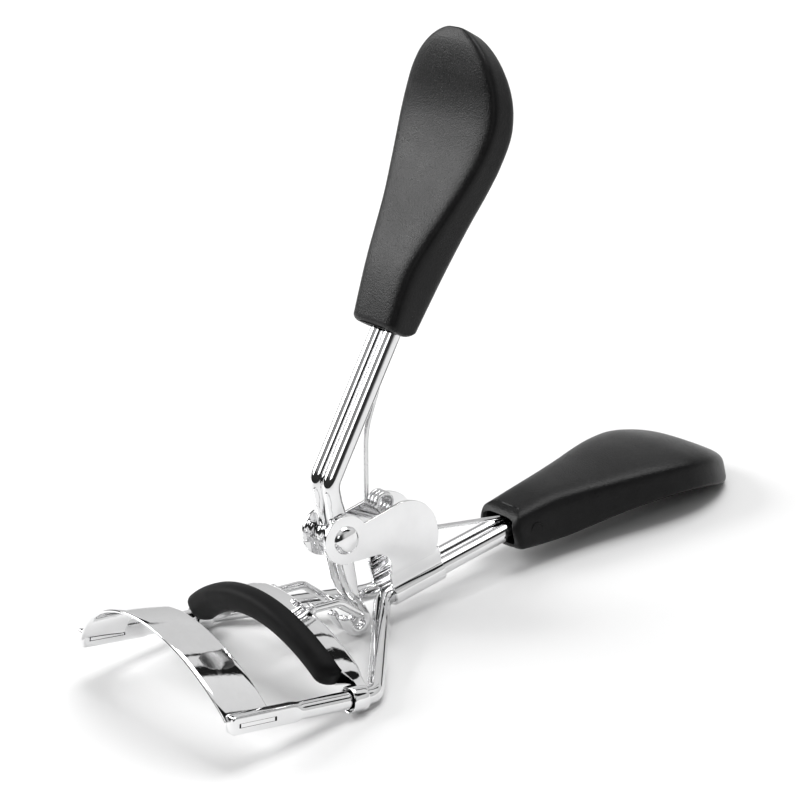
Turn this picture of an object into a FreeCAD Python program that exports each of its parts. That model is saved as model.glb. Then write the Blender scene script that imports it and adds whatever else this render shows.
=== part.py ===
import FreeCAD, Part
import os
from math import radians, sin, cos, tan, atan2, sqrt, pi
from FreeCAD import Vector as V

# Eyelash curler. Working frame: X across the jaw, Y from the jaw to the handles, Z up,
# origin at the front end of the guide rails on their axis height. All sizes in mm.

# wires and sheet
WIRE = 2.45                 # diameter of the frame and lever wires
SHEET = 0.5                 # thickness of the bracket and jaw sheet
PAIR = 1.45                 # half the spacing of two wires that run side by side
# guide rails
RAIL_X = 18.95              # half the spacing of the rail axes
BAR_LEN, BAR_W, BAR_H = 10.0, 1.9, 2.5
CORNER_Y = 22.2             # where the rail turns towards the middle
SLOT_Y0, SLOT_LEN, SLOT_H = 0.9, 5.6, 0.56
# lower (frame) wire line through the sleeve into the lower handle
LOW = V(0, 37.6, 6.5)
LOW_ANGLE = 17.1
MOUTH_LOW = 20.0            # distance from LOW to the lower handle's mouth
# lever
PIVOT = V(0, 28.3, 15.65)
BEND = V(0, 26.3, 23.3)
UP_ANGLE = 64.9             # elevation of the upper wires with the jaw open
MOUTH_UP = 21.9             # distance from BEND to the upper handle's mouth
EMBED = 20.0                # length of wire inside a handle
FLAT = 1.9                  # thickness of the flattened lever wire
FLAT_X = 1.2                # half the spacing of the flattened parts
RIVET_R = 1.2
RUN = 0.05                  # running clearance of the lever on the rivet
# bracket
EAR_OUT = 2.9
BOSS_R = 3.45
SLEEVE_A, SLEEVE_B = 5.6, 14.2
# front plate
PLATE_T = 0.45
PLATE_LEAN = 14.7
FRONT_Y, FRONT_TOP, FRONT_R = -0.29, 9.33, 23.7
REAR_Y, REAR_TOP, REAR_R = 6.6, 9.2, 23.5
PLATE_X = 17.7
# moving jaw
JAW_LEAN = 11.0
JAW_C = -18.6               # height of the arch's centre in its leaning plane
JAW_RIN, JAW_ROUT = 24.4, 28.5
JAW_HALF = 38.5             # half the arch's angle
PAD_FRONT, CHAN_FRONT, CHAN_BACK = 15.7, 18.5, 21.5
EYE_Y, EYE_LEN, EYE_R = 18.0, 2.4, 1.85
EYE_BORE = 1.5              # clears the flattened front of the rail as well
# drive link and hooks
LINK_D = 1.2
LINK_X = 4.4
CROSS = V(0, 30.4, 5.1)
SLOT_TILT = 34.0            # tilt of the hooks' slot with the jaw open
SLOT_HALF = 0.88
SLOT_DEPTH = 2.05
HOOK_W = 1.25
# return spring
SPRING_D = 0.7
COIL = V(0, 35.7, 19.3)
COIL_R = 1.4
COIL_TURNS = 3.25
# handle sections: distance from the mouth, half width, outer face, inner face
HANDLE = [
    (0.0, 4.57, 2.88, -2.5), (4.0, 4.87, 3.64, -2.62), (8.5, 5.43, 4.21, -2.58),
    (12.75, 6.43, 4.13, -2.22), (17.6, 7.8, 3.88, -1.79), (21.6, 9.04, 3.87, -1.45),
    (25.4, 10.04, 4.09, -1.0), (29.6, 10.57, 4.8, -0.29), (32.7, 10.07, 5.83, 0.63),
    (35.1, 8.99, 6.96, 1.57), (37.35, 7.39, 7.88, 2.9), (39.06, 5.44, 8.43, 4.0),
    (40.16, 3.53, 8.56, 4.93), (40.62, 2.1, 8.55, 5.35),
]
CROWN = 1.0                 # how far the inner face bulges at the widest part
FLARE = 0.1                 # how much wider the outer face is than the middle at the mouth
SQUARE = 0.41               # exponent of the section's rounded square, 1 for an ellipse
MOUTH_EDGE = 0.6            # rounding of the mouth's edge
MOUTH_INNER = 2.6           # rounding of the mouth's corner on the inner side
CAVITY = (3.15, 2.6, -1.85, 6.0)  # half width, outer side, inner side, depth
LOW_SHIFT = -0.4            # the lower handle sits this far inward of its wires
LOW_STRETCH = 0.97          # length of the lower handle compared with the upper one
UP_SHIFT = 0.25             # the upper handle sits this far outward of its wires

REST_TILT = 13.279          # tilt that sets the jaw's eyes and the lower handle on a table

low_dir = V(0, cos(radians(LOW_ANGLE)), sin(radians(LOW_ANGLE)))
low_out = V(0, sin(radians(LOW_ANGLE)), -cos(radians(LOW_ANGLE)))
up_dir = V(0, cos(radians(UP_ANGLE)), sin(radians(UP_ANGLE)))
up_out = V(0, -sin(radians(UP_ANGLE)), cos(radians(UP_ANGLE)))
low_mouth = LOW + low_dir * MOUTH_LOW
up_mouth = BEND + up_dir * MOUTH_UP
slot_down = V(0, sin(radians(SLOT_TILT)), -cos(radians(SLOT_TILT)))
slot_back = V(0, cos(radians(SLOT_TILT)), sin(radians(SLOT_TILT)))


def rounded_path(points, radii):
    """Polyline through points with its inner corners rounded."""
    edges = []
    start = points[0]
    for before, corner, after, radius in zip(points, points[1:], points[2:], radii):
        a = (before - corner).normalize()
        b = (after - corner).normalize()
        half = a.getAngle(b) / 2
        cut = radius / tan(half)
        middle = corner + (a + b).normalize() * (radius / sin(half) - radius)
        edges.append(Part.LineSegment(start, corner + a * cut).toShape())
        edges.append(Part.Arc(corner + a * cut, middle, corner + b * cut).toShape())
        start = corner + b * cut
    edges.append(Part.LineSegment(start, points[-1]).toShape())
    return Part.Wire(edges)


def pipe(path, diameter):
    """Round wire along a path."""
    first = path.Edges[0]
    at = first.valueAt(first.FirstParameter)
    along = first.tangentAt(first.FirstParameter)
    circle = Part.Wire(Part.makeCircle(diameter / 2, at, along))
    return path.makePipeShell([circle], True, False)


def box(x0, x1, y0, y1, z0, z1):
    return Part.makeBox(x1 - x0, y1 - y0, z1 - z0, V(x0, y0, z0))


def disc(centre, radius, x0, x1):
    """Cylinder along X between x0 and x1."""
    return Part.makeCylinder(radius, x1 - x0, V(x0, centre.y, centre.z), V(1, 0, 0))


def link(a, ra, b, rb, x0, x1):
    """Flat bar from a to b with round ends, between x0 and x1."""
    span = b - a
    turn = atan2(span.z, span.y)
    lean = pi / 2 - (0 if ra == rb else pi / 2 - atan2(sqrt(span.Length**2 - (ra - rb) ** 2), ra - rb))
    corners = []
    for centre, radius, side in ((a, ra, 1), (b, rb, 1), (b, rb, -1), (a, ra, -1)):
        angle = turn + side * lean
        corners.append(V(x0, centre.y + radius * cos(angle), centre.z + radius * sin(angle)))
    body = Part.Face(Part.makePolygon(corners + corners[:1])).extrude(V(x1 - x0, 0, 0))
    return body.fuse([disc(a, ra, x0, x1), disc(b, rb, x0, x1)])


def frame_wire(side):
    """One wire of the frame: guide rail, diagonal and the run into the lower handle."""
    path = rounded_path(
        [V(RAIL_X, BAR_LEN - 1, 0), V(RAIL_X, CORNER_Y, 0),
         LOW + low_dir * -1.9 + V(PAIR, 0, 0), low_mouth + low_dir * EMBED + V(PAIR, 0, 0)],
        [2.3, 3.5])
    wire = pipe(path, WIRE)
    bar = box(RAIL_X - BAR_W / 2, RAIL_X + BAR_W / 2, 0, BAR_LEN, -BAR_H / 2, BAR_H / 2)
    bar = bar.makeFillet(0.5, bar.Edges)
    slot = box(RAIL_X - 3, RAIL_X + 3, SLOT_Y0, SLOT_Y0 + SLOT_LEN, -SLOT_H / 2, SLOT_H / 2)
    wire = wire.fuse(bar).cut(slot).removeSplitter()
    return wire if side > 0 else mirrored(wire)


def mirrored(shape):
    return shape.mirror(V(0, 0, 0), V(1, 0, 0))


def arch_edge(y0, top, radius, thickness, lean, x_end):
    """Outline of the plate's cross-section in a plane that leans forward."""
    def at(r, x):
        height = top - radius + sqrt(r * r - x * x)
        return V(x, y0 - sin(lean) * height, cos(lean) * height)
    inner = radius - thickness
    xi = x_end * inner / radius
    return Part.Wire([
        Part.Arc(at(radius, -x_end), at(radius, 0), at(radius, x_end)).toShape(),
        Part.LineSegment(at(radius, x_end), at(inner, xi)).toShape(),
        Part.Arc(at(inner, xi), at(inner, 0), at(inner, -xi)).toShape(),
        Part.LineSegment(at(inner, -xi), at(radius, -x_end)).toShape()])


def front_plate():
    """Arched plate that the pad closes against, with a tab in each rail's slot."""
    lean = radians(PLATE_LEAN)
    plate = Part.makeLoft([
        arch_edge(FRONT_Y, FRONT_TOP, FRONT_R, PLATE_T, lean, PLATE_X),
        arch_edge(REAR_Y, REAR_TOP, REAR_R, PLATE_T, lean, PLATE_X)], True, True)
    y0 = SLOT_Y0 + 0.05
    y1 = SLOT_Y0 + SLOT_LEN - 0.05
    half = SLOT_H / 2 - 0.03
    tab = box(PLATE_X - 0.75, RAIL_X + BAR_W / 2, y0, y1, -half, half)
    skirt = box(PLATE_X - 0.75, PLATE_X - 0.3, 0.1, REAR_Y - 0.45, -half, 1.75)
    side = tab.fuse(skirt)
    return plate.fuse([side, mirrored(side)]).removeSplitter()


def ear_face():
    """Ear outline in the plane X = 0, drawn along and across the sleeve."""
    across = V(0, -low_dir.z, low_dir.y)
    def at(u, v):
        return PIVOT + low_dir * u + across * v
    notch_v = 1.0
    neck = SLEEVE_A + 0.1
    notch_u = sqrt(BOSS_R**2 - notch_v**2)
    edges = [
        Part.Arc(at(0, -BOSS_R), at(-BOSS_R, 0), at(notch_u, notch_v)).toShape(),
        Part.LineSegment(at(notch_u, notch_v), at(9.5, 1.3)).toShape(),
        Part.Arc(at(9.5, 1.3), at(13.2, -0.4), at(14.6, -4.2)).toShape(),
        Part.Arc(at(14.6, -4.2), at(14.2, -6.6), at(13.1, -8.2)).toShape(),
        Part.LineSegment(at(13.1, -8.2), at(13.1, -10.6)).toShape(),
        Part.LineSegment(at(13.1, -10.6), at(neck, -10.6)).toShape(),
        Part.LineSegment(at(neck, -10.6), at(neck, -8.0)).toShape(),
        Part.Arc(at(neck, -8.0), at(5.9, -5.8), at(3.9, -4.2)).toShape(),
        Part.LineSegment(at(3.9, -4.2), at(0, -BOSS_R)).toShape()]
    return Part.Face(Part.Wire(edges))


def bracket():
    """Folded sheet: two ears above a sleeve clamped round both frame wires."""
    ear = ear_face()
    shift = EAR_OUT - SHEET
    ears = [ear.translated(V(shift, 0, 0)).extrude(V(SHEET, 0, 0)),
            ear.translated(V(-EAR_OUT, 0, 0)).extrude(V(SHEET, 0, 0))]
    drop = (PIVOT - LOW).dot(low_out)
    centre = PIVOT + low_dir * SLEEVE_A - low_out * drop
    run = low_dir * (SLEEVE_B - SLEEVE_A)
    def stadium(radius):
        up = V(0, -low_dir.z, low_dir.y) * radius
        x = V(PAIR, 0, 0)
        out = V(radius, 0, 0)
        return Part.Face(Part.Wire([
            Part.LineSegment(centre - x + up, centre + x + up).toShape(),
            Part.Arc(centre + x + up, centre + x + out, centre + x - up).toShape(),
            Part.LineSegment(centre + x - up, centre - x - up).toShape(),
            Part.Arc(centre - x - up, centre - x - out, centre - x + up).toShape()])).extrude(run)
    bore = WIRE / 2 + 0.02
    sleeve = stadium(bore + SHEET).cut(stadium(bore))
    gap = Part.makeBox(2 * shift, SLEEVE_B - SLEEVE_A + 2, 6, V(-shift, -1, 0))
    gap.rotate(V(0, 0, 0), V(1, 0, 0), LOW_ANGLE)
    gap.translate(centre + V(0, -low_dir.z, low_dir.y) * 0.4)
    clear = stadium(bore)
    body = sleeve.cut(gap).fuse([e.cut(clear) for e in ears])
    return body.cut(disc(PIVOT, RIVET_R, -4, 4)).removeSplitter()


def pivot_rivet():
    """Domed rivet through both ears and both lever wires."""
    dome = 2.45
    cap_r = 1.9
    sink = sqrt(dome**2 - cap_r**2)
    ball = Part.makeSphere(dome, V(EAR_OUT - sink, PIVOT.y, PIVOT.z))
    head = ball.common(disc(PIVOT, cap_r, EAR_OUT, EAR_OUT + 2))
    shank = disc(PIVOT, RIVET_R, -EAR_OUT, EAR_OUT)
    return shank.fuse([head, mirrored(head)]).removeSplitter()


def lever_wire(side):
    """One lever wire: round above, flattened at the pivot, hooked at its lower end."""
    top = up_mouth + up_dir * EMBED
    toward = (PIVOT - BEND).normalize()
    neck = BEND + toward * 3.0
    path = rounded_path([top + V(PAIR, 0, 0), BEND + V(PAIR, 0, 0), neck + V(PAIR, 0, 0)], [3.0])
    x0 = FLAT_X - FLAT / 2
    x1 = FLAT_X + FLAT / 2
    h0, h1 = 0.5, 2.1
    rear = SLOT_HALF + HOOK_W / 2
    centre = CROSS + slot_down * SLOT_DEPTH
    knee = V(0, 30.0, 9.4)
    shank_top = CROSS + slot_back * rear - slot_down * 1.3
    shank_low = centre + slot_back * rear
    tip_low = centre - slot_back * rear
    tip_top = CROSS - slot_back * rear - slot_down * 0.3
    bow = disc(centre, SLOT_HALF + HOOK_W, h0, h1).cut(disc(centre, SLOT_HALF, h0, h1))
    half = Part.makeBox(h1 - h0 + 2, 8, 8, V(h0 - 1, -4, 0))
    half.rotate(V(0, 0, 0), V(1, 0, 0), SLOT_TILT)
    half.translate(centre)
    bars = [link(neck - toward * 0.6, 1.2, PIVOT, 2.1, x0, x1),
            link(PIVOT, 2.1, knee, 1.05, x0, x1),
            link(knee, 1.05, shank_top, HOOK_W / 2, h0, h1),
            link(shank_top, HOOK_W / 2, shank_low, HOOK_W / 2, h0, h1),
            link(tip_low, HOOK_W / 2, tip_top, HOOK_W / 2, h0, h1),
            bow.cut(half)]
    keep = link(centre - slot_down * 3, SLOT_HALF, centre, SLOT_HALF, h0 - 1, h1 + 1)
    wire = pipe(path, WIRE).fuse(bars).cut(keep.fuse(disc(PIVOT, RIVET_R + RUN, -1, 4)))
    wire = wire.removeSplitter()
    return wire if side > 0 else mirrored(wire)


def handle_section(s, half, outer, inner, origin, along, out, stretch):
    """Closed curve of one handle section: flat outer face, crowned inner face."""
    points = []
    crown = CROWN * (half / 10.2) ** 2
    flare = FLARE * (1 - s / HANDLE[-1][0])
    for step in range(32):
        angle = 2 * pi * step / 32
        c, d = cos(angle), sin(angle)
        across = abs(c) ** SQUARE * (1 if c > 0 else -1)
        up = abs(d) ** SQUARE * (1 if d > 0 else -1)
        n = (outer + inner) / 2 + (outer - inner) / 2 * up
        if d < -0.01:
            n -= crown * (1 - across**2)
        at = origin + along * (s * stretch) + out * n
        points.append(V(half * across * (1 + flare * up), at.y, at.z))
    curve = Part.BSplineCurve()
    curve.interpolate(points, PeriodicFlag=True)
    return Part.Wire(curve.toShape())


def handle(origin, along, out, wires, stretch):
    """Moulded paddle with an open mouth, moulded round the wires behind it."""
    sections = [handle_section(*row, origin, along, out, stretch) for row in HANDLE]
    body = Part.makeLoft(sections, True, False)
    mouth = [e for e in body.Edges if e.BoundBox.XLength > 5 and (e.CenterOfMass - origin).dot(along) < 0.5]
    body = body.makeFillet(MOUTH_EDGE, mouth)
    inner_face = origin + out * HANDLE[0][3]
    middle = inner_face + (along + out) * MOUTH_INNER
    reach = MOUTH_INNER + 3
    corner = Part.Face(Part.makePolygon([
        middle, middle - out * reach, middle - (along + out) * reach, middle - along * reach, middle]))
    corner = corner.extrude(V(30, 0, 0)).translated(V(-15, 0, 0))
    corner = corner.cut(disc(middle, MOUTH_INNER, -16, 16))
    half, outer, inner, depth = CAVITY
    pocket = Part.makeBox(2 * half, depth + 1, outer - inner)
    pocket = pocket.makeFillet(0.9, [e for e in pocket.Edges if abs(e.tangentAt(0).y) > 0.9])
    turn = FreeCAD.Rotation(V(1, 0, 0), V(0, along.y, along.z), V(0, out.y, out.z), "XYZ")
    if turn.multVec(V(0, 0, 1)).dot(out) < 0:
        pocket.translate(V(0, 0, -outer - inner))
    pocket.translate(V(-half, -1, inner))
    pocket.Placement = FreeCAD.Placement(origin, turn).multiply(pocket.Placement)
    return body.cut([corner, pocket] + wires)


def ring_sector(r_in, r_out, y0, depth, half_angle):
    """Part of the jaw's arch: a sector in a plane that leans forward, drawn out along Y."""
    lean = radians(JAW_LEAN)
    def at(r, angle):
        height = JAW_C + r * cos(angle)
        return V(r * sin(angle), y0 - sin(lean) * height, cos(lean) * height)
    a = radians(half_angle)
    outline = Part.Wire([
        Part.Arc(at(r_out, -a), at(r_out, 0), at(r_out, a)).toShape(),
        Part.LineSegment(at(r_out, a), at(r_in, a)).toShape(),
        Part.Arc(at(r_in, a), at(r_in, 0), at(r_in, -a)).toShape(),
        Part.LineSegment(at(r_in, -a), at(r_out, -a)).toShape()])
    return Part.Face(outline).extrude(V(0, depth, 0))


def lash_pad():
    """Soft arched pad: a rounded front bead and a tongue held in the jaw's channel."""
    bead = ring_sector(JAW_RIN, JAW_ROUT, PAD_FRONT, CHAN_FRONT - PAD_FRONT, JAW_HALF)
    front = [e for e in bead.Edges
             if e.Length > 5 and e.CenterOfMass.y < PAD_FRONT and e.BoundBox.XLength > 10]
    bead = bead.makeFillet(1.2, front)
    tongue = ring_sector(JAW_RIN + SHEET, JAW_ROUT - SHEET, CHAN_FRONT,
                         CHAN_BACK - CHAN_FRONT - SHEET, JAW_HALF - 0.5)
    return bead.fuse(tongue).removeSplitter()


def pusher_plate(pad):
    """Arched channel that holds the pad, with an eye round each guide rail."""
    depth = CHAN_BACK - CHAN_FRONT
    channel = ring_sector(JAW_RIN, JAW_ROUT, CHAN_FRONT, depth, JAW_HALF)
    hollow = ring_sector(JAW_RIN + SHEET, JAW_ROUT - SHEET, CHAN_FRONT, depth - SHEET, 60)
    channel = channel.cut(hollow)
    eye = Part.makeCylinder(EYE_R, EYE_LEN, V(RAIL_X, EYE_Y, 0), V(0, 1, 0))
    arm = Part.makePolygon([
        V(15.9, 0, 1.3), V(17.7, 0, 3.6), V(19.5, 0, 1.65), V(17.3, 0, -0.6), V(15.9, 0, 1.3)])
    arm = Part.Face(arm).extrude(V(0, 1.6, 0)).translated(V(0, EYE_Y + EYE_LEN - 1.0, 0))
    sides = [eye.fuse(arm), mirrored(eye.fuse(arm))]
    bore = Part.makeCylinder(EYE_BORE, 10, V(RAIL_X, EYE_Y - 3, 0), V(0, 1, 0))
    return channel.fuse(sides).cut([bore, mirrored(bore), pad]).removeSplitter()


def drive_link():
    """Bent wire from the back of the jaw to the bar that lies in the lever's hooks."""
    start = V(LINK_X, 20.0, 7.3)
    knee = V(LINK_X, 26.4, 7.7)
    end = CROSS + V(LINK_X, 0, 0)
    flip = [V(-p.x, p.y, p.z) for p in (end, knee, start)]
    return pipe(rounded_path([start, knee, end] + flip, [2.0, 1.1, 1.1, 2.0]), LINK_D)


def return_spring():
    """Torsion spring: a small coil between the ears and an arm into each handle."""
    r = SPRING_D / 2
    pitch = SPRING_D + 0.08
    height = pitch * COIL_TURNS
    coil = Part.makeHelix(pitch, height, COIL_R)
    coil.rotate(V(0, 0, 0), V(0, 1, 0), 90)
    coil.rotate(V(0, 0, 0), V(1, 0, 0), -90)
    coil.translate(COIL - V(height / 2, 0, 0))
    start = coil.Edges[0].valueAt(coil.Edges[0].FirstParameter)
    end = coil.Edges[-1].valueAt(coil.Edges[-1].LastParameter)
    first_tangent = coil.Edges[0].tangentAt(coil.Edges[0].FirstParameter)
    circle = Part.Wire(Part.makeCircle(r, start, first_tangent))
    body = Part.Wire(coil.Edges).makePipeShell([circle], True, True)
    up_end = up_mouth + up_dir * 2.0 - up_out * 0.9
    low_end = low_mouth + low_dir * 2.2 - low_out * 1.1
    upper = rounded_path([start, V(start.x * 0.6, 33.4, 29.5), V(0, up_end.y, up_end.z)], [12.0])
    lower = rounded_path([end, V(end.x * 0.6, 43.5, 14.6), V(0, low_end.y, low_end.z)], [12.0])
    joints = [Part.makeSphere(r * 1.02, start), Part.makeSphere(r * 1.02, end)]
    return body.fuse(joints + [pipe(upper, SPRING_D), pipe(lower, SPRING_D)])


def build():
    """All pieces in the working frame."""
    frame_r = frame_wire(1)
    frame_l = frame_wire(-1)
    lever_r = lever_wire(1)
    lever_l = lever_wire(-1)
    pad = lash_pad()
    pusher = pusher_plate(pad)
    link_wire = drive_link().cut(pusher.fuse(pad))
    return {
        "frame_wire_right": frame_r,
        "frame_wire_left": frame_l,
        "front_plate": front_plate(),
        "bracket": bracket(),
        "pivot_rivet": pivot_rivet(),
        "lower_handle": handle(low_mouth + low_out * LOW_SHIFT, low_dir, low_out, [frame_r, frame_l],
                               LOW_STRETCH),
        "lever_wire_right": lever_r,
        "lever_wire_left": lever_l,
        "upper_handle": handle(up_mouth + up_out * UP_SHIFT, up_dir, up_out, [lever_r, lever_l], 1),
        "pusher_plate": pusher,
        "lash_pad": pad,
        "drive_link": link_wire,
        "return_spring": return_spring(),
    }


pieces = build()
os.makedirs("parts", exist_ok=True)
for shape in pieces.values():
    shape.rotate(V(0, 0, 0), V(1, 0, 0), -REST_TILT)
whole = Part.makeCompound(list(pieces.values())).optimalBoundingBox()
shift = V(0, -(whole.YMin + whole.YMax) / 2, -whole.ZMin)
for name, shape in pieces.items():
    shape.translate(shift)
    print(name, shape.ShapeType, len(shape.Solids), shape.isValid(), round(shape.Volume, 2))
    shape.exportStep("parts/%s.step" % name)
print("shift", shift, "size", whole.XLength, whole.YLength, whole.ZLength)
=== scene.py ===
from math import acos, atan2, cos, hypot, pi, radians, sin, sqrt, tan

import bmesh
import bpy
import numpy as np
from mathutils import Matrix, Vector

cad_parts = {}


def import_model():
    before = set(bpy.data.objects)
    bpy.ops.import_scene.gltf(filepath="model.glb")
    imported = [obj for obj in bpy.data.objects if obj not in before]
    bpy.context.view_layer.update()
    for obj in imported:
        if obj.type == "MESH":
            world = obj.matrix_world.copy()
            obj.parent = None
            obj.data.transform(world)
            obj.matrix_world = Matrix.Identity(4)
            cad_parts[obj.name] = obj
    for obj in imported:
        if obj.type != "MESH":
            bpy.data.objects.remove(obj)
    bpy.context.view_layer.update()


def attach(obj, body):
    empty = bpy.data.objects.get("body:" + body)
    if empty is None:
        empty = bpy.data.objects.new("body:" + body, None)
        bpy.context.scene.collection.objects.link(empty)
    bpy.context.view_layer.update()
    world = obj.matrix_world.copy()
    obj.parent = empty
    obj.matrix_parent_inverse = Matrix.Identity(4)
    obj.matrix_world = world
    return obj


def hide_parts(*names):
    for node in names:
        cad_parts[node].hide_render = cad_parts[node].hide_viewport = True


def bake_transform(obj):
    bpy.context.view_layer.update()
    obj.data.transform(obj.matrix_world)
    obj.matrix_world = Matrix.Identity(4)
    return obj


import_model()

# ---------------------------------------------------------------------------------------------
# Working frame, as in the CAD source: mm, X across the jaw, Y to the handles, Z up,
# origin at the front ends of the guide rails. row() takes it to the row frame in metres.
# ---------------------------------------------------------------------------------------------
TILT = radians(-13.279)
SHIFT = np.array((0.0, -48.69334, 6.48627))


def turn(points):
    p = np.asarray(points, float)
    y = p[..., 1] * cos(TILT) - p[..., 2] * sin(TILT)
    z = p[..., 1] * sin(TILT) + p[..., 2] * cos(TILT)
    return np.stack((p[..., 0], y, z), -1)


def row(points):
    return (turn(points) + SHIFT) / 1000


def vec(x, y, z):
    return np.array((x, y, z), float)


def unit(v):
    return v / np.linalg.norm(v)


# wires and sheet
WIRE_R = 1.225
SHEET = 0.5
PAIR = 1.45         # each wire of a pair runs this far from the middle plane
RAIL_X = 18.95
PLATE_HALF = 0.225  # half the front plate's thickness
PLATE_WIDTH = 6.9
X_AXIS = vec(1, 0, 0)
# directions and fixed points: wires of the lower handle, pivot, bend and wires of the lever
LOW = vec(0, 37.6, 6.5)
LOW_A = radians(17.1)
low_dir = vec(0, cos(LOW_A), sin(LOW_A))
low_out = vec(0, sin(LOW_A), -cos(LOW_A))
low_mouth = LOW + low_dir * 20.0
PIVOT = vec(0, 28.3, 15.65)
BEND = vec(0, 26.3, 23.3)
UP_A = radians(64.9)
up_dir = vec(0, cos(UP_A), sin(UP_A))
up_out = vec(0, -sin(UP_A), cos(UP_A))
up_mouth = BEND + up_dir * 21.9


# ---------------------------------------------------------------------------------------------
# Mesh helpers
# ---------------------------------------------------------------------------------------------
def rounded(points, radii, step=4.0, run=1.0):
    """Points along a polyline whose inner corners are rounded: arcs every step degrees."""
    points = [np.asarray(p, float) for p in points]
    out = [points[0]]

    def straight(to):
        start = out[-1]
        count = max(1, int(np.linalg.norm(to - start) / run))
        for k in range(1, count + 1):
            out.append(start + (to - start) * k / count)

    for before, corner, after, radius in zip(points, points[1:], points[2:], radii):
        a = unit(before - corner)
        b = unit(after - corner)
        half = acos(np.clip(a @ b, -1, 1)) / 2
        cut = radius / tan(half)
        centre = corner + unit(a + b) * (radius / sin(half))
        straight(corner + a * cut)
        sweep = pi - 2 * half
        u = unit(corner + a * cut - centre)
        w = unit(corner + b * cut - centre)
        n = max(2, int(np.degrees(sweep) / step))
        for k in range(1, n + 1):
            t = sweep * k / n
            out.append(centre + radius * (u * sin(sweep - t) + w * sin(t)) / sin(sweep))
    straight(points[-1])
    return np.array(out)


def tangents(path):
    d = np.zeros_like(path)
    seg = path[1:] - path[:-1]
    seg /= np.linalg.norm(seg, axis=1)[:, None]
    d[0], d[-1] = seg[0], seg[-1]
    d[1:-1] = seg[1:] + seg[:-1]
    return d / np.linalg.norm(d, axis=1)[:, None]


def arclength(path):
    return np.concatenate(([0], np.cumsum(np.linalg.norm(np.diff(path, axis=0), axis=1))))


def superellipse(a, b, e, count):
    """Closed outline with half sizes a, b; e is 2 for an ellipse, more for a rounded box."""
    t = np.linspace(0, 2 * pi, count, endpoint=False)
    c, s = np.cos(t), np.sin(t)
    x = a * np.sign(c) * np.abs(c) ** (2 / e)
    y = b * np.sign(s) * np.abs(s) ** (2 / e)
    return np.stack((x, y), -1)


def sweep(path, side, section, count=36):
    """Rings of section(distance) -> (a, b, exponent) along a path; a lies along side."""
    ring_list = []
    tan_list = tangents(path)
    along = arclength(path)
    n1 = unit(np.asarray(side, float))
    for p, t, s in zip(path, tan_list, along):
        n1 = unit(n1 - t * (n1 @ t))
        n2 = np.cross(t, n1)
        flat = superellipse(*section(s), count)
        ring_list.append(p + flat[:, :1] * n1 + flat[:, 1:] * n2)
    return np.array(ring_list)


def loft(rings):
    """Quads between closed rings, then a single face over each end."""
    rings = np.asarray(rings, float)
    n, m = rings.shape[:2]
    faces = []
    for i in range(n - 1):
        for j in range(m):
            k = (j + 1) % m
            faces.append((i * m + j, i * m + k, (i + 1) * m + k, (i + 1) * m + j))
    faces.append(tuple(range(m - 1, -1, -1)))
    faces.append(tuple((n - 1) * m + j for j in range(m)))
    return rings.reshape(-1, 3), faces


def uncapped(part):
    """The same shape without its two end faces, for a profile that closes on itself."""
    vertices, faces = part
    return vertices, faces[:-2]


def merge(*parts):
    """Several (vertices, faces) as one."""
    verts, faces, base = [], [], 0
    for v, f in parts:
        verts.append(np.asarray(v, float).reshape(-1, 3))
        faces += [tuple(i + base for i in face) for face in f]
        base += len(verts[-1])
    return np.concatenate(verts), faces


def mirror(part):
    v, f = part
    return v * np.array((-1, 1, 1)), [tuple(reversed(face)) for face in f]


def slab(outline, thickness_vec):
    """Flat sheet: a closed outline (N,3) thickened by a vector."""
    a = np.asarray(outline, float)
    return loft([a, a + thickness_vec])


def mesh(name, part, sharp=35, bevel=0.0, cut=None):
    """A smooth-shaded object in the row frame, from vertices in the working frame."""
    data = bpy.data.meshes.new(name)
    data.from_pydata(row(part[0]).tolist(), [], part[1])
    work = bmesh.new()
    work.from_mesh(data)
    bmesh.ops.remove_doubles(work, verts=work.verts, dist=1e-7)
    bmesh.ops.recalc_face_normals(work, faces=work.faces)
    work.to_mesh(data)
    work.free()
    obj = bpy.data.objects.new(name, data)
    bpy.context.scene.collection.objects.link(obj)
    if cut is not None:
        boolean = obj.modifiers.new("cut", "BOOLEAN")
        boolean.object = cut
        boolean.operation = "DIFFERENCE"
        boolean.solver = "EXACT"
    if bevel:
        edge = obj.modifiers.new("bevel", "BEVEL")
        edge.width = bevel / 1000
        edge.segments = 3
        edge.limit_method = "ANGLE"
        edge.angle_limit = radians(40)
        edge.use_clamp_overlap = True
    if obj.modifiers:
        graph = bpy.context.evaluated_depsgraph_get()
        done = bpy.data.meshes.new_from_object(obj.evaluated_get(graph))
        obj.modifiers.clear()
        obj.data = done
    obj.data.shade_smooth()
    obj.data.set_sharp_from_angle(angle=radians(sharp))
    if cut is not None:
        bpy.data.objects.remove(cut)
    return obj


def settle(obj, material, body, slot, *nodes):
    """Gives a finished piece its material and body, and hides the CAD nodes it stands for; slot is
    not used.
    """
    obj.data.materials.clear()
    obj.data.materials.append(material)
    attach(obj, body)
    if nodes:
        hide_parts(*nodes)
    return obj


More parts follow.
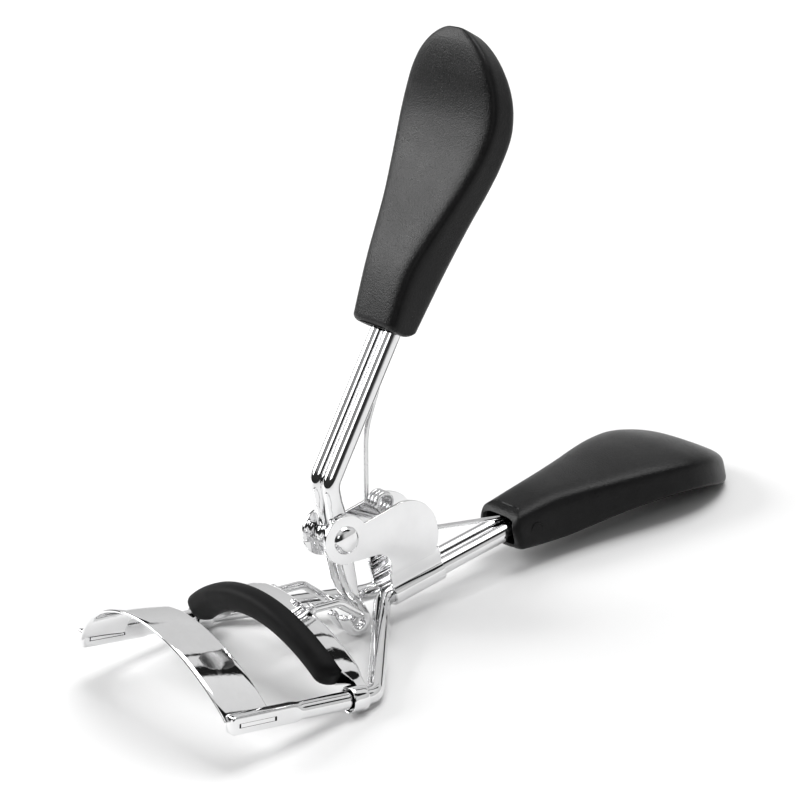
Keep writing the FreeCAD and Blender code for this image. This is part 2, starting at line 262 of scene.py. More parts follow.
# ---------------------------------------------------------------------------------------------
# Materials
# ---------------------------------------------------------------------------------------------
class Nodes:
    """A small wrapper for one material's node tree."""

    def __init__(self, name):
        self.material = bpy.data.materials.new(name)
        self.material.use_nodes = True
        self.tree = self.material.node_tree
        self.tree.nodes.clear()
        self.out = self.new("ShaderNodeOutputMaterial")
        self.shader = self.new("ShaderNodeBsdfPrincipled")
        self.link(self.shader.outputs[0], self.out.inputs[0])
        self.coords = self.new("ShaderNodeTexCoord").outputs["Object"]

    def new(self, kind, **settings):
        node = self.tree.nodes.new(kind)
        for key, value in settings.items():
            setattr(node, key, value)
        return node

    def link(self, a, b):
        self.tree.links.new(a, b)

    def scaled(self, scale):
        node = self.new("ShaderNodeMapping")
        node.inputs["Scale"].default_value = scale
        self.link(self.coords, node.inputs[0])
        return node.outputs[0]

    def noise(self, scale, detail=2.0, rough=0.5, stretch=None, distortion=0.0):
        node = self.new("ShaderNodeTexNoise")
        node.inputs["Scale"].default_value = scale
        node.inputs["Detail"].default_value = detail
        node.inputs["Roughness"].default_value = rough
        node.inputs["Distortion"].default_value = distortion
        self.link(self.scaled(stretch) if stretch else self.coords, node.inputs["Vector"])
        return node.outputs[0]

    def voronoi(self, scale):
        node = self.new("ShaderNodeTexVoronoi")
        node.inputs["Scale"].default_value = scale
        self.link(self.coords, node.inputs["Vector"])
        return node.outputs["Distance"]

    def remap(self, value, low, high, to_low, to_high):
        node = self.new("ShaderNodeMapRange")
        node.inputs["From Min"].default_value = low
        node.inputs["From Max"].default_value = high
        node.inputs["To Min"].default_value = to_low
        node.inputs["To Max"].default_value = to_high
        self.link(value, node.inputs["Value"])
        return node.outputs[0]

    def add(self, a, b):
        node = self.new("ShaderNodeMath", operation="ADD")
        self.link(a, node.inputs[0])
        self.link(b, node.inputs[1])
        return node.outputs[0]

    def ramp(self, value, stops):
        node = self.new("ShaderNodeValToRGB")
        elements = node.color_ramp.elements
        while len(elements) < len(stops):
            elements.new(0.5)
        for element, (place, color) in zip(elements, stops):
            element.position = place
            element.color = (*color, 1.0)
        self.link(value, node.inputs[0])
        return node.outputs[0]

    def bump(self, height, strength, distance, under=None):
        node = self.new("ShaderNodeBump")
        node.inputs["Strength"].default_value = strength
        node.inputs["Distance"].default_value = distance
        self.link(height, node.inputs["Height"])
        if under is not None:
            self.link(under, node.inputs["Normal"])
        return node.outputs[0]

    def set(self, **values):
        names = {"base": "Base Color", "roughness": "Roughness", "normal": "Normal",
                 "metallic": "Metallic", "ior": "IOR", "specular": "Specular IOR Level"}
        for key, value in values.items():
            socket = self.shader.inputs[names[key]]
            if hasattr(value, "is_linked"):
                self.link(value, socket)
            else:
                socket.default_value = value
        return self.material


def chrome(name, tone, rough, grain=(1.0, 1.0, 1.0), lines=0.25):
    """Bright nickel plating: faint clouding, fine polishing lines and small handling marks."""
    n = Nodes(name)
    cloud = n.noise(260, 3, 0.6)
    color = n.ramp(cloud, [(0.3, [c * 0.94 for c in tone]), (0.7, tone)])
    marks = n.remap(n.noise(900, 4, 0.65, distortion=0.6), 0.52, 0.72, 0.0, 0.10)
    fine = n.noise(2600, 2, 0.5, stretch=grain)
    roughness = n.add(n.remap(fine, 0.3, 0.7, rough * 0.7, rough * 1.4), marks)
    broad = n.bump(n.noise(170, 1, 0.4), 0.04, 0.0002)
    normal = n.bump(fine, lines, 0.00001, broad)
    return n.set(base=color, metallic=1.0, roughness=roughness, normal=normal)


def handle_plastic():
    """Satin black moulding: fine spark-eroded grain with faint polish on worn places."""
    n = Nodes("handle_plastic")
    grain = n.noise(4300, 3, 0.6)
    pits = n.remap(n.voronoi(5200), 0.0, 0.5, 0.0, 1.0)
    worn = n.noise(120, 2, 0.5)
    cloud = n.noise(700, 3, 0.6)
    color = n.ramp(cloud, [(0.3, (0.004, 0.004, 0.0042)), (0.7, (0.007, 0.007, 0.0072))])
    roughness = n.add(n.remap(worn, 0.35, 0.65, 0.28, 0.33), n.remap(grain, 0.3, 0.7, -0.03, 0.04))
    normal = n.bump(grain, 0.6, 0.00009, n.bump(pits, 0.25, 0.00004))
    return n.set(base=color, roughness=roughness, normal=normal, ior=1.45, specular=0.20)


def pad_rubber():
    """Matt black silicone rubber with a faint dusty bloom."""
    n = Nodes("pad_rubber")
    bloom = n.noise(420, 4, 0.6)
    color = n.ramp(bloom, [(0.35, (0.004, 0.004, 0.0042)), (0.75, (0.008, 0.008, 0.0085))])
    roughness = n.remap(bloom, 0.3, 0.7, 0.50, 0.62)
    normal = n.bump(n.noise(5000, 3, 0.6), 0.25, 0.00004,
                    n.bump(n.noise(500, 2, 0.5), 0.15, 0.0001))
    return n.set(base=color, roughness=roughness, normal=normal, ior=1.45, specular=0.10)


STEEL = chrome("polished_wire", (0.82, 0.82, 0.825), 0.05)
PLATED = chrome("polished_sheet", (0.85, 0.85, 0.855), 0.035)
SPRING = chrome("spring_wire", (0.72, 0.72, 0.725), 0.16, lines=0.4)
PLASTIC = handle_plastic()
RUBBER = pad_rubber()


def ease(t):
    t = np.clip(t, 0, 1)
    return t * t * (3 - 2 * t)


# ---------------------------------------------------------------------------------------------
# Frame wires: flattened and slotted rail, round rail, diagonal, run into the lower handle
# ---------------------------------------------------------------------------------------------
def frame_wire(sign):
    tip = [vec(RAIL_X, y, 0) for y in (0, 0.05, 0.14, 0.28, 0.5)]
    path = rounded([vec(RAIL_X, 0.75, 0), vec(RAIL_X, 22.2, 0), LOW - low_dir * 1.9 + X_AXIS * PAIR,
                    low_mouth + low_dir * 9 + X_AXIS * PAIR], [2.3, 3.5], run=0.3)
    path = np.concatenate((tip, path))

    def section(s):
        shrink = sqrt(max(0.0, 1 - (max(0.0, 0.45 - s) / 0.45) ** 2)) * 0.42 + 0.58
        flat = 1 - ease((s - 9.3) / 1.0)
        a = 0.95 * flat + WIRE_R * (1 - flat)
        b = 1.25 * flat + WIRE_R * (1 - flat)
        return a * (1 - (1 - shrink) * 0.5), b * (1 - (1 - shrink) * 0.4), 2 + 3.6 * flat

    part = loft(sweep(path, X_AXIS, section, 48))
    slot_corners = ((0.9, -0.3), (6.5, -0.3), (6.5, 0.3), (0.9, 0.3))
    slot = slab([vec(RAIL_X - 3, y, z) for y, z in slot_corners], vec(6, 0, 0))
    if sign < 0:
        part, slot = mirror(part), mirror(slot)
    cutter = mesh("slot_cutter", slot)
    side = "right" if sign > 0 else "left"
    obj = mesh("frame_wire_%s_look" % side, part, sharp=40, cut=cutter)
    return settle(obj, STEEL, "frame", "polished_steel", "frame_wire_" + side)


# ---------------------------------------------------------------------------------------------
# Front plate: arched sheet, bent down inside the rails, with a tab in each slot
# ---------------------------------------------------------------------------------------------
def plate_profile(top, radius):
    """(x, height) of the plate's middle surface from its crest to its foot beside the rail."""
    radius = radius - PLATE_HALF
    crest = top - PLATE_HALF
    arc = [(x, crest - radius + sqrt(radius * radius - x * x)) for x in np.linspace(0, 17.6, 64)]
    x1, h1 = arc[-1]
    foot = [(x1 + 0.25, h1 - 0.3), (x1 + 0.5, h1 - 0.65), (x1 + 0.75, h1 - 1.0)]
    return np.array(arc + foot)


def front_plate():
    lean = radians(14.7)
    front = plate_profile(9.33, 23.7)
    rear = plate_profile(9.2, 23.5)

    def place(profile, y0, offset):
        t = tangents(np.c_[profile, np.zeros(len(profile))])[:, :2]
        x = profile[:, 0] + t[:, 1] * -offset
        h = profile[:, 1] + t[:, 0] * offset
        y = y0 - sin(lean) * profile[:, 1]
        z = cos(lean) * h
        return np.stack((x, y, z), -1)

    columns = []
    for w, off in edge_loop(PLATE_HALF, 0.2, 14):
        a = place(front, -0.29, off)
        b = place(rear, 6.6, off)
        crown = 0.10 * (1 - (2 * w - 1) ** 2)
        columns.append(a + (b - a) * w + np.array((0, 0, crown)))
    right = np.stack(columns, 1)
    left = right[:0:-1] * np.array((-1, 1, 1))
    rings = np.concatenate((left, right))
    body = loft(rings)
    tab_corners = ((1.15, -0.25), (6.2, -0.25), (6.2, 0.25), (1.15, 0.25))
    tab = slab([vec(18.1, y, z) for y, z in tab_corners], vec(1.78, 0, 0))
    obj = mesh("front_plate_look", merge(body, tab, mirror(tab)), sharp=50)
    return settle(obj, PLATED, "frame", "polished_steel", "front_plate")


def edge_loop(half, r, across):
    """(share of width, offset) pairs round a thin sheet's section, with rounded long edges."""
    out = []
    inset = r / PLATE_WIDTH
    for w in np.linspace(inset, 1 - inset, across):
        out.append((w, half))
    for a in (60, 30, 0, -30, -60):
        out.append((1 - inset + inset * cos(radians(a)), half * sin(radians(a))))
    for w in np.linspace(1 - inset, inset, across):
        out.append((w, -half))
    for a in (-60, -30, 0, 30, 60):
        out.append((inset - inset * cos(radians(a)), half * sin(radians(a))))
    return out


# ---------------------------------------------------------------------------------------------
# Bracket: two ears folded up from a sleeve round both frame wires, and the pivot rivet
# ---------------------------------------------------------------------------------------------
ear_up = -low_out


def ear_point(u, v, x=0.0):
    return PIVOT + low_dir * u + ear_up * v + X_AXIS * x


def arc3(a, m, b, count=14):
    """Points on the circle through three 2D points, from a to b by way of m."""
    (ax, ay), (mx, my), (bx, by) = a, m, b
    d = 2 * (ax * (my - by) + mx * (by - ay) + bx * (ay - my))
    aa, mm, bb = ax**2 + ay**2, mx**2 + my**2, bx**2 + by**2
    ux = (aa * (my - by) + mm * (by - ay) + bb * (ay - my)) / d
    uy = (aa * (bx - mx) + mm * (ax - bx) + bb * (mx - ax)) / d
    r = hypot(ax - ux, ay - uy)
    t0, tm, t1 = (atan2(p[1] - uy, p[0] - ux) for p in (a, m, b))
    if not (tm - t0) % (2 * pi) < (t1 - t0) % (2 * pi):
        span = (t1 - t0) % (2 * pi) - 2 * pi
    else:
        span = (t1 - t0) % (2 * pi)
    turns = [t0 + span * k / count for k in range(count + 1)]
    return [(ux + r * cos(t), uy + r * sin(t)) for t in turns]


def ear_outline():
    boss = 3.45
    notch = (sqrt(boss**2 - 1), 1.0)
    points = arc3((0, -boss), (-boss, 0), notch, 40)
    points += arc3((9.5, 1.3), (13.2, -0.4), (14.6, -4.2), 24)
    points += arc3((14.6, -4.2), (14.2, -6.6), (13.1, -8.2), 12)[1:]
    points += [(5.75, -8.2), (5.7, -8.0)]
    points += arc3((5.7, -8.0), (5.9, -5.8), (3.9, -4.2), 14)[1:]
    return points


def sleeve_profile():
    """Closed outline of the folded sheet across the sleeve, in (x, v)."""
    centre = -11.48
    r = WIRE_R + 0.02 + SHEET / 2
    neck = ((2.5, -7.7), (2.5, -8.5), (2.48, -9.1), (2.42, -9.65), (2.37, -10.05))
    line = [vec(x, v, 0) for x, v in neck]
    line += [vec(PAIR + r * cos(t), centre + r * sin(t), 0) for t in np.linspace(0.84, -pi / 2, 28)]
    line += [vec(-p[0], p[1], 0) for p in reversed(line)]
    line = np.array(line)
    t = tangents(line)
    normal = np.stack((t[:, 1], -t[:, 0], t[:, 2]), -1)
    return np.concatenate((line + normal * SHEET / 2, (line - normal * SHEET / 2)[::-1]))


def bracket():
    outline = np.array([ear_point(u, v, 2.4) for u, v in ear_outline()])
    ear = slab(outline, X_AXIS * SHEET)
    profile = sleeve_profile()
    rings = [np.array([ear_point(u, p[1], p[0]) for p in profile]) for u in (5.6, 14.2)]
    obj = mesh("bracket_look", merge(ear, mirror(ear), loft(rings)), sharp=32, bevel=0.11)
    return settle(obj, PLATED, "frame", "polished_steel", "bracket")


def revolve(profile, centre, axis, count=64):
    """Turned shape: (radius, distance along axis) pairs round an axis through centre."""
    axis = unit(np.asarray(axis, float))
    n1 = unit(np.cross(axis, vec(0.3, 0.5, 0.8)))
    n2 = np.cross(axis, n1)
    t = np.linspace(0, 2 * pi, count, endpoint=False)
    spoke = np.cos(t)[:, None] * n1 + np.sin(t)[:, None] * n2
    return loft([centre + axis * h + r * spoke for r, h in profile])


def pivot_rivet():
    dome = []
    for angle in range(88, -1, -4):
        a = radians(angle)
        dome.append((1.9 * sin(a) ** 0.96 + 0.001, 2.98 + 0.84 * cos(a) ** 1.1))
    head = [(1.2, 2.3), (1.2, 2.85), (1.93, 2.88), (1.95, 2.93)] + dome
    right = revolve(head, PIVOT, X_AXIS)
    shank = revolve([(1.2, -2.5), (1.2, 2.5)], PIVOT, X_AXIS)
    obj = mesh("pivot_rivet_look", merge(right, mirror(right), shank), sharp=50)
    return settle(obj, PLATED, "frame", "polished_steel", "pivot_rivet")


# ---------------------------------------------------------------------------------------------
# Lever wires: round above, flattened at the pivot, hooked below
# ---------------------------------------------------------------------------------------------
CROSS = vec(0, 30.4, 5.1)       # the drive link's bar, at rest in the hooks' slots
SLOT_TILT = radians(34.0)
HOOK_THIN = 0.625               # half thickness of the wire at the hook
SLOT_HALF = 0.88
LEVER_X = 1.3                   # the flattened wires' distance from the middle plane at the hook
slot_down = vec(0, sin(SLOT_TILT), -cos(SLOT_TILT))
slot_back = vec(0, cos(SLOT_TILT), sin(SLOT_TILT))


def lever_wire(sign):
    toward = unit(PIVOT - BEND)
    top = up_mouth + up_dir * 9 + X_AXIS * PAIR
    centre = CROSS + slot_down * 2.05
    reach = SLOT_HALF + HOOK_THIN
    knee = vec(1.25, 30.0, 9.4)
    shank_top = CROSS + slot_back * reach - slot_down * 1.3 + X_AXIS * LEVER_X
    neck = BEND + toward * 3.2 + X_AXIS * PAIR
    upper = rounded([top, BEND + X_AXIS * PAIR, neck], [3.0], run=0.35)
    shank_end = centre + slot_back * reach + X_AXIS * LEVER_X
    middle = rounded([upper[-1], PIVOT + X_AXIS * 1.2, knee, shank_top, shank_end],
                     [3.0, 2.2, 1.0], step=5, run=0.16)
    turnings = np.linspace(0, pi, 26)[1:]
    bow = [centre + X_AXIS * LEVER_X + reach * (slot_back * cos(t) + slot_down * sin(t))
           for t in turnings]
    tip = [bow[-1] - slot_down * k for k in (0.4, 0.8, 1.2, 1.55, 1.8, 1.98, 2.08, 2.12)]
    path = np.concatenate((upper, middle[1:], bow, tip))
    along = arclength(path)
    at_neck = along[len(upper) - 1]
    at_pivot = along[np.argmin(np.linalg.norm(path - PIVOT - X_AXIS * 1.2, axis=1))]
    at_knee = along[np.argmin(np.linalg.norm(path - knee, axis=1))]
    at_hook = along[np.argmin(np.linalg.norm(path - shank_top, axis=1))]
    end = along[-1]

    def section(s):
        a = np.interp(s, [at_neck - 0.6, at_neck + 1.6, at_knee, at_hook], [WIRE_R, 0.95, 0.9, 0.8])
        b = np.interp(s, [at_neck - 0.6, at_neck + 1.2, at_pivot + 3, at_knee, at_hook],
                      [WIRE_R, 1.3, 1.25, 1.05, HOOK_THIN])
        e = np.interp(s, [at_neck - 0.6, at_neck + 1.6, at_hook, at_hook + 1], [2.0, 3.4, 3.4, 2.6])
        near = 2.1**2 - (s - at_pivot) ** 2
        if near > 0:
            b = max(b, sqrt(near))
        left = end - s
        if left < 0.6:
            k = sqrt(max(0.02, 1 - (1 - left / 0.6) ** 2))
            a, b = a * (0.35 + 0.65 * k), b * k
        return a, b, e

    part = loft(sweep(path, X_AXIS, section, 44))
    if sign < 0:
        part = mirror(part)
    side = "right" if sign > 0 else "left"
    obj = mesh("lever_wire_%s_look" % side, part, sharp=50)
    return settle(obj, STEEL, "lever", "polished_steel", "lever_wire_" + side)


# ---------------------------------------------------------------------------------------------
# Handles
# ---------------------------------------------------------------------------------------------
# distance from the mouth, half width, outer face, inner face
HANDLE = np.array([
    (0.0, 4.57, 2.88, -2.5), (4.0, 4.87, 3.64, -2.62), (8.5, 5.43, 4.21, -2.58),
    (12.75, 6.43, 4.13, -2.25), (17.6, 7.8, 3.88, -1.79), (21.6, 9.04, 3.87, -1.45),
    (25.4, 10.04, 4.09, -1.0), (29.6, 10.57, 4.8, -0.29), (32.7, 10.07, 5.83, 0.63),
    (35.1, 8.99, 6.96, 1.57), (37.35, 7.39, 7.88, 2.9), (39.06, 5.44, 8.43, 4.0),
    (40.16, 3.53, 8.56, 4.93), (40.66, 1.95, 8.55, 5.4), (40.78, 0.24, 8.24, 5.83)])
MOUTH_INNER = 2.6   # radius of the mouth's inner corner
MOUTH_EDGE = 0.8    # rounding of the mouth's edge
MARK_AT = 3.4       # the moulding mark on one side: distance from the mouth, radius, thickness
MARK_R = 0.95
MARK_THICK = 0.06


def spline(points, per_span):
    """Centripetal Catmull-Rom through rows of numbers."""
    p = np.concatenate(([2 * points[0] - points[1]], points, [2 * points[-1] - points[-2]]))
    out = []
    for i in range(1, len(p) - 2):
        k = [0.0]
        for a, b in ((i - 1, i), (i, i + 1), (i + 1, i + 2)):
            k.append(k[-1] + max(1e-6, np.linalg.norm(p[b] - p[a])) ** 0.5)
        for t in np.linspace(k[1], k[2], per_span, endpoint=False):
            a1 = ((k[1] - t) * p[i - 1] + (t - k[0]) * p[i]) / (k[1] - k[0])
            a2 = ((k[2] - t) * p[i] + (t - k[1]) * p[i + 1]) / (k[2] - k[1])
            a3 = ((k[3] - t) * p[i + 1] + (t - k[2]) * p[i + 2]) / (k[3] - k[2])
            b1 = ((k[2] - t) * a1 + (t - k[0]) * a2) / (k[2] - k[0])
            b2 = ((k[3] - t) * a2 + (t - k[1]) * a3) / (k[3] - k[1])
            out.append(((k[2] - t) * b1 + (t - k[1]) * b2) / (k[2] - k[1]))
    out.append(points[-1])
    return np.array(out)


RING = 132
RING_T = np.linspace(0, 2 * pi, 20001)


def rounded_square(e):
    """Unit outline with exponent e whose points are evenly spread."""
    x = np.sign(np.cos(RING_T)) * np.abs(np.cos(RING_T)) ** (2 / e)
    y = np.sign(np.sin(RING_T)) * np.abs(np.sin(RING_T)) ** (2 / e)
    run = np.concatenate(([0], np.cumsum(np.hypot(np.diff(x * 1.7), np.diff(y)))))
    at = np.linspace(0, run[-1], RING, endpoint=False)
    return np.stack((np.interp(at, run, x), np.interp(at, run, y)))


SOFT, CRISP = rounded_square(4.9), rounded_square(6.2)


def handle_ring(s, half, outer, inner, inset=0.0):
    """Points (x, s, n) of one section: flat outer face and crowned inner face.

    The ridges are crisp along the paddle and softer at the mouth and the tip.
    """
    s = np.asarray(s)
    share = ease((s - 5) / 16) * (1 - 0.85 * ease((s - 30) / 9))
    unit_x = SOFT[0] * (1 - share) + CRISP[0] * 0.975 * share
    unit_y = SOFT[1] * (1 - share) + CRISP[1] * 0.98 * share
    flare = 0.1 * (1 - s / HANDLE[-1, 0])
    crown = (half / 10.2) ** 2 * ease((s - 1) / 7)
    x = (half - inset) * unit_x * (1 + flare * unit_y)
    n = (outer + inner) / 2 + ((outer - inner) / 2 - inset) * unit_y
    n = n - crown * (1 - unit_x**2) * ease(-unit_y / 0.8)
    return np.stack((x, s + np.zeros(RING), n), -1)


def handle(name, origin, along, out, body, lift, stretch):
    """Moulded paddle: open mouth with a deep inner corner, cavity round the wires."""
    rows = spline(HANDLE, 9)
    corner = HANDLE[0, 3] - 0.02 + MOUTH_INNER

    def face(n):
        drop = np.clip(corner - n, 0, MOUTH_INNER - 0.001)
        return MOUTH_INNER - np.sqrt(MOUTH_INNER**2 - drop**2)

    def edge(inset):
        d = MOUTH_EDGE - np.sqrt(MOUTH_EDGE**2 - (MOUTH_EDGE - inset) ** 2)
        return d * ease((SOFT[1] + 1) / 0.6)

    cavity = np.stack((3.15 * SOFT[0], np.zeros(RING), 0.3 + 2.1 * SOFT[1]), -1)
    inside = []
    for depth, grow in ((6.0, 0.9), (5.7, 1.0), (2.5, 1.0), (0.35, 1.0), (0.08, 1.03), (0.0, 1.1)):
        ring = cavity * grow + np.array((0, 0, 0.3 * (1 - grow)))
        ring[:, 1] = np.maximum(depth, face(ring[:, 2]) + depth)
        ring[:, 1] = np.minimum(ring[:, 1], max(depth, 4.2))
        inside.append(ring)

    def lip_ring(inset):
        """The mouth's outline at its own place on the rounded corner."""
        at = np.zeros(RING)
        for _ in range(3):
            size = [np.interp(at, rows[:, 0], rows[:, k]) for k in (1, 2, 3)]
            ring = handle_ring(at, *size, inset)
            at = face(ring[:, 2]) + edge(inset)
        ring[:, 1] = at
        return ring

    rim = lip_ring(MOUTH_EDGE)
    front = []
    for share in (0.2, 0.4, 0.6, 0.8, 1.0):
        ring = inside[-1] + (rim - inside[-1]) * share
        ring[:, 1] = face(ring[:, 2])
        front.append(ring)
    for inset in (0.55, 0.35, 0.2, 0.09, 0.02, 0.0):
        front.append(lip_ring(inset))
    base = front[-1][:, 1]
    flank = []
    for share in (0.1, 0.25, 0.45, 0.7, 1.0):
        at = base + (5.0 - base) * share
        size = [np.interp(at, rows[:, 0], rows[:, k]) for k in (1, 2, 3)]
        flank.append(handle_ring(at, *size))
    tail = [handle_ring(*r) for r in rows if r[0] > 5.3]
    rings = np.array(inside + front + flank + tail)
    start = origin + out * lift
    points = start + rings[..., :1] * X_AXIS + rings[..., 1:2] * along * stretch
    points = points + rings[..., 2:] * out
    # the upper handle is the lower one turned over, so its mark is on the other side
    across = X_AXIS if body == "frame" else -X_AXIS
    bead = [(MARK_R + MARK_THICK * cos(a), MARK_THICK * sin(a)) for a in np.linspace(0, 2 * pi, 9)]
    half = float(np.interp(MARK_AT, HANDLE[:, 0], HANDLE[:, 1]))
    side = start + across * (half - 0.01) + along * MARK_AT * stretch
    mark = uncapped(revolve(bead, side + out * 0.6, across - along * 0.1, 40))
    obj = mesh(name + "_look", merge(loft(points), mark), sharp=70)
    return settle(obj, PLASTIC, body, "handle_plastic", name)


# ---------------------------------------------------------------------------------------------
# Jaw: pad, channel with eyes round the rails, drive link
# ---------------------------------------------------------------------------------------------
JAW_LEAN = radians(11.0)
JAW_C = -18.6               # height of the arch's centre
R_IN, R_OUT = 24.4, 28.5    # radii of the pad's lower and upper faces
R_MID = 26.4


def jaw_point(r, angle, y0):
    height = JAW_C + r * cos(angle)
    return vec(r * sin(angle), y0 - sin(JAW_LEAN) * height, cos(JAW_LEAN) * height)


def jaw_sweep(profile, half_angle, ends=0.0, middle=(26.45, 18.5)):
    """Closed profile of (r, y) swept round the arch; ends rounds the last millimetres."""
    angles = list(np.linspace(-half_angle, half_angle, 90))
    if ends:
        step = np.array([0.0, 0.02, 0.08, 0.18, 0.32, 0.5, 0.72, 1.0]) * ends / R_MID
        angles = list(-half_angle + step) + angles[6:-6] + list(half_angle - step[::-1])
    rings = []
    for a in angles:
        left = (half_angle - abs(a)) * R_MID
        k = 1.0
        if ends and left < ends:
            k = 0.30 + 0.70 * sqrt(max(0.0, 1 - (1 - left / ends) ** 2))
        grow = 0.4 + 0.6 * k
        rings.append([jaw_point(middle[0] + (r - middle[0]) * grow, a,
                                middle[1] + (y - middle[1]) * k) for r, y in profile])
    return loft(rings)


def lash_pad():
    mid, half = (R_IN + R_OUT) / 2, (R_OUT - R_IN) / 2
    bead = []
    for t in np.linspace(0, pi, 30):
        c, s = cos(t), sin(t)
        r = mid + (half + 0.05) * np.sign(c) * abs(c) ** (2 / 2.7)
        bead.append((r, 18.35 - 2.62 * abs(s) ** (2 / 2.5)))
    profile = bead + [(R_IN + 0.2, 18.6), (R_IN + 0.6, 18.9),
                      (R_OUT - 0.6, 18.9), (R_OUT - 0.2, 18.6)]
    body = jaw_sweep(profile, radians(38.4), ends=1.5, middle=(mid, 18.6))
    tongue = jaw_sweep([(R_IN + 0.6, 18.6), (R_OUT - 0.6, 18.6),
                        (R_OUT - 0.6, 20.9), (R_IN + 0.6, 20.9)], radians(37.8))
    obj = mesh("lash_pad_look", merge(body, tongue), sharp=60)
    return settle(obj, RUBBER, "jaw", "pad_rubber", "lash_pad")


def channel_profile():
    """Rounded C: lower flange, back wall, upper flange, 0.5 mm thick."""
    line = rounded([vec(R_IN + 0.25, 18.45, 0), vec(R_IN + 0.25, 21.25, 0),
                    vec(R_OUT - 0.25, 21.25, 0), vec(R_OUT - 0.25, 18.45, 0)],
                   [0.5, 0.5], step=15, run=1.0)
    t = tangents(line)
    normal = np.stack((t[:, 1], -t[:, 0], t[:, 2]), -1)
    ring = np.concatenate((line + normal * 0.25, (line - normal * 0.25)[::-1]))
    return [(p[0], p[1]) for p in ring]


def eye_part():
    """The eye round one rail: a thick ring."""
    profile = []
    for t in np.linspace(0, 2 * pi, 28, endpoint=False):
        r = 1.68 + 0.17 * np.sign(cos(t)) * abs(cos(t)) ** 0.8
        h = 1.2 * np.sign(sin(t)) * abs(sin(t)) ** 0.7
        profile.append((r, h))
    profile.append(profile[0])
    return uncapped(revolve(profile, vec(RAIL_X, 19.2, 0), vec(0, 1, 0), 56))


def channel():
    """The C section over the arch, drawn in at each end to the sheet that holds the eye."""
    profile = np.array(channel_profile())
    tongue = np.array((R_OUT - 0.55, 20.55))
    rings = []
    for a in np.linspace(-45.0, 45.0, 150):
        k = 1 - ease((abs(a) - 37.0) / 5.5) * 0.78
        shape = tongue + (profile - tongue) * np.array((k, 0.35 + 0.65 * k))
        rings.append([jaw_point(r, radians(a), y) for r, y in shape])
    return loft(rings)


def pusher_plate():
    arm_line = [(15.7, 2.9, 1.5), (16.5, 2.45, 1.35), (17.3, 1.75, 1.2), (17.9, 1.15, 1.05)]
    turns = np.linspace(0, 2 * pi, 24, endpoint=False)
    circle = list(zip(np.cos(turns), np.sin(turns)))
    rings = []
    for x, z, w in spline(np.array(arm_line), 5):
        y = 20.3 - sin(JAW_LEAN) * z * 0.6
        rings.append([vec(x + 0.55 * c * w, y + 0.42 * np.sign(s) * abs(s) ** 0.6, z + 0.9 * c * w)
                      for c, s in circle])
    arm = loft(rings)
    eye = eye_part()
    obj = mesh("pusher_plate_look", merge(channel(), eye, mirror(eye), arm, mirror(arm)), sharp=45)
    return settle(obj, PLATED, "jaw", "polished_steel", "pusher_plate")


def drive_link():
    side = 4.4
    start, knee, end = vec(side, 20.6, 7.3), vec(side, 26.4, 7.7), CROSS + X_AXIS * side
    flip = [p * np.array((-1, 1, 1)) for p in (end, knee, start)]
    path = rounded([start, knee, end] + flip, [2.0, 1.1, 1.1, 2.0], step=6, run=0.5)
    rod = loft(sweep(path, X_AXIS, lambda s: (0.6, 0.6, 2.0), 32))
    collar = [(0.62, -0.5), (1.05, -0.42), (1.1, -0.2), (0.98, 0.1), (0.78, 0.32), (0.61, 0.42)]
    weld = revolve(collar, vec(side, 21.9, 7.38), unit(knee - start), 40)
    obj = mesh("drive_link_look", merge(rod, weld, mirror(weld)), sharp=60)
    return settle(obj, STEEL, "jaw", "polished_steel", "drive_link")


# ---------------------------------------------------------------------------------------------
# Return spring: coil between the ears, an arm into each handle
# ---------------------------------------------------------------------------------------------
def return_spring():
    coil = vec(0, 35.7, 19.3)
    turns = np.linspace(pi, 7.5 * pi, 131)
    pitch, radius, half_turns = 0.78, 1.4, 1.625
    helix = np.array([coil + vec(pitch * ((t - pi) / (2 * pi) - half_turns),
                                 radius * cos(t), radius * sin(t)) for t in turns])
    up_end = up_mouth + up_dir * 2.0 - up_out * 0.9
    low_end = low_mouth + low_dir * 2.2 - low_out * 1.1
    first, last = helix[0], helix[-1]
    upper = rounded([up_end, vec(first[0] * 0.6, 33.4, 29.5), first], [12.0], run=0.5)
    lower = rounded([last, vec(last[0] * 0.6, 43.5, 14.6), low_end], [12.0], run=0.5)
    tubes = [loft(sweep(p, X_AXIS, lambda s: (0.35, 0.35, 2.0), 20)) for p in (helix, upper, lower)]
    obj = mesh("return_spring_look", merge(*tubes), sharp=60)
    obj.data.materials.append(SPRING)
    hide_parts("return_spring")
    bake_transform(obj)
    return obj


for sign in (1, -1):
    frame_wire(sign)
    lever_wire(sign)
front_plate()
bracket()
pivot_rivet()
handle("lower_handle", low_mouth, low_dir, low_out, "frame", -0.4, 0.97)
handle("upper_handle", up_mouth, up_dir, up_out, "lever", 0.25, 1.0)
lash_pad()
pusher_plate()
drive_link()
return_spring()


# ---------------------------------------------------------------------------------------------
# Floor, light and camera
# ---------------------------------------------------------------------------------------------
def floor():
    n = Nodes("floor")
    tone = n.ramp(n.noise(3, 2, 0.5), [(0.3, (0.80, 0.80, 0.80)), (0.7, (0.82, 0.82, 0.82))])
    n.set(base=tone, roughness=0.7)
    data = bpy.data.meshes.new("floor")
    data.from_pydata([(-1, -1, 0), (1, -1, 0), (1, 1, 0), (-1, 1, 0)], [], [(0, 1, 2, 3)])
    obj = bpy.data.objects.new("floor", data)
    bpy.context.scene.collection.objects.link(obj)
    obj.data.materials.append(n.material)


def softbox(name, place, target, width, height, power):
    data = bpy.data.lights.new(name, "AREA")
    data.shape = "RECTANGLE"
    data.size, data.size_y, data.energy = width, height, power
    obj = bpy.data.objects.new(name, data)
    obj.location = place
    obj.rotation_euler = (Vector(target) - Vector(place)).to_track_quat("-Z", "Y").to_euler()
    bpy.context.scene.collection.objects.link(obj)


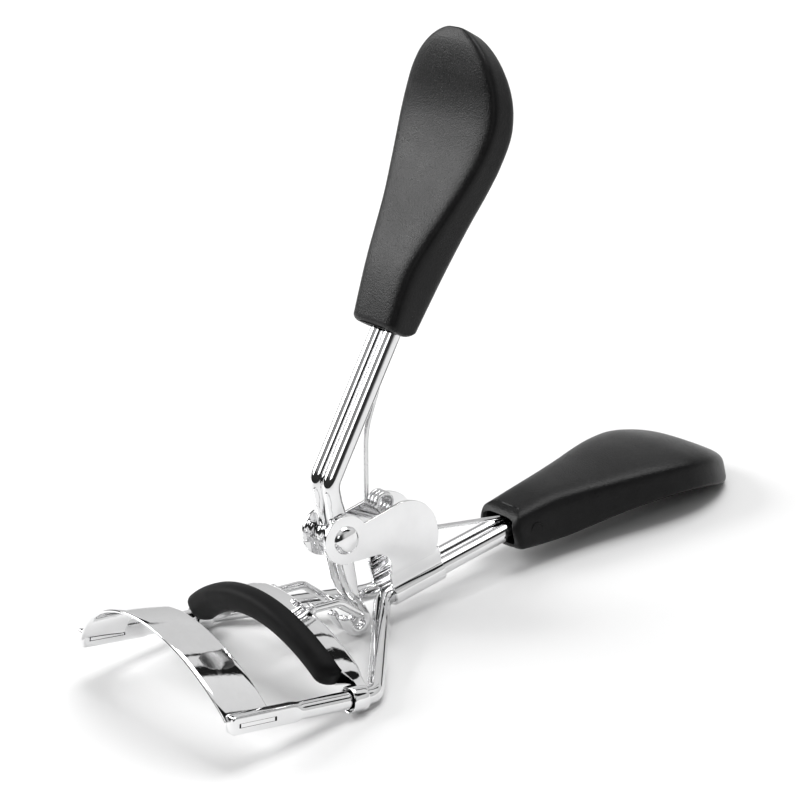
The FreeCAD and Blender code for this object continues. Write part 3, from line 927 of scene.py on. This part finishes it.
def world():
    """Studio: a pale backdrop behind, a bright ceiling with dark seams, dark in front."""
    data = bpy.data.worlds.new("studio")
    bpy.context.scene.world = data
    data.use_nodes = True
    tree = data.node_tree
    tree.nodes.clear()
    out = tree.nodes.new("ShaderNodeOutputWorld")
    back = tree.nodes.new("ShaderNodeBackground")
    coords = tree.nodes.new("ShaderNodeTexCoord")
    split = tree.nodes.new("ShaderNodeSeparateXYZ")
    tree.links.new(coords.outputs["Generated"], split.inputs[0])

    def ramp(source, stops):
        node = tree.nodes.new("ShaderNodeValToRGB")
        elements = node.color_ramp.elements
        while len(elements) < len(stops):
            elements.new(0.5)
        for element, (place, tone) in zip(elements, stops):
            element.position = place
            element.color = (tone, tone, tone, 1)
        tree.links.new(source, node.inputs[0])
        return node.outputs[0]

    def span(source, low, high):
        node = tree.nodes.new("ShaderNodeMapRange")
        node.inputs["From Min"].default_value = low
        node.inputs["From Max"].default_value = high
        tree.links.new(source, node.inputs["Value"])
        return node.outputs[0]

    def blend(factor, a, b):
        node = tree.nodes.new("ShaderNodeMix")
        node.data_type = "RGBA"
        tree.links.new(factor, node.inputs[0])
        tree.links.new(a, node.inputs[6])
        tree.links.new(b, node.inputs[7])
        return node.outputs[2]

    wall = ramp(split.outputs[2], ((0.0, 0.72), (0.4, 0.85)))
    seams = ramp(span(split.outputs[0], -1, 1), (
        (0.0, 0.02), (0.14, 0.02), (0.155, 0.85), (0.372, 0.85), (0.376, 0.02),
        (0.386, 0.02), (0.390, 0.9), (0.450, 0.9), (0.458, 0.015), (0.512, 0.015),
        (0.524, 1.0), (0.725, 0.9), (0.735, 0.015), (0.85, 0.015), (0.87, 0.6)))
    behind = blend(span(split.outputs[2], 0.385, 0.405), wall, seams)
    ahead = ramp(split.outputs[2], ((0.0, 0.03), (0.5, 0.05), (0.72, 0.6), (1.0, 1.0)))
    tree.links.new(blend(span(split.outputs[1], -0.15, 0.15), ahead, behind), back.inputs[0])
    back.inputs[1].default_value = 0.85
    tree.links.new(back.outputs[0], out.inputs[0])


def camera():
    """Long lens from the jaw's right; the tool sits off the middle of the picture."""
    azimuth, elevation, roll = radians(53.51), radians(13.73), radians(2.33)
    distance, scale = 350.0, 7.44
    picture, sensor = 800, 36.0
    focal = distance * scale
    aside, above = -119.21 * distance / focal, 219.45 * distance / focal
    back = vec(sin(azimuth) * cos(elevation), -cos(azimuth) * cos(elevation), sin(elevation))
    right0 = vec(cos(azimuth), sin(azimuth), 0)
    up0 = np.cross(back, right0)
    right = right0 * cos(roll) + up0 * sin(roll)
    up = up0 * cos(roll) - right0 * sin(roll)
    place = vec(0, 20, 5) + back * distance - right * aside + up * above
    axes = [turn(v) for v in (right, up, back)]
    data = bpy.data.cameras.new("camera")
    data.sensor_width = sensor
    data.lens = focal / picture * sensor
    data.clip_start, data.clip_end = 0.01, 20.0
    obj = bpy.data.objects.new("camera", data)
    bpy.context.scene.collection.objects.link(obj)
    turned = Matrix(np.array(axes).T.tolist()).to_4x4()
    obj.matrix_world = Matrix.Translation(Vector(row(place))) @ turned
    bpy.context.scene.camera = obj


floor()
world()
softbox("top", (0.0, 0.3, 0.9), (0, 0.05, 0), 0.6, 0.6, 5.6)
softbox("left", (-0.62, -0.38, 0.43), (0, 0, 0.05), 0.5, 0.42, 5.0)
softbox("right", (0.55, -0.75, 0.6), (0, 0, 0.03), 0.4, 0.3, 1.0)
camera()
bpy.context.scene.view_settings.view_transform = "Standard"
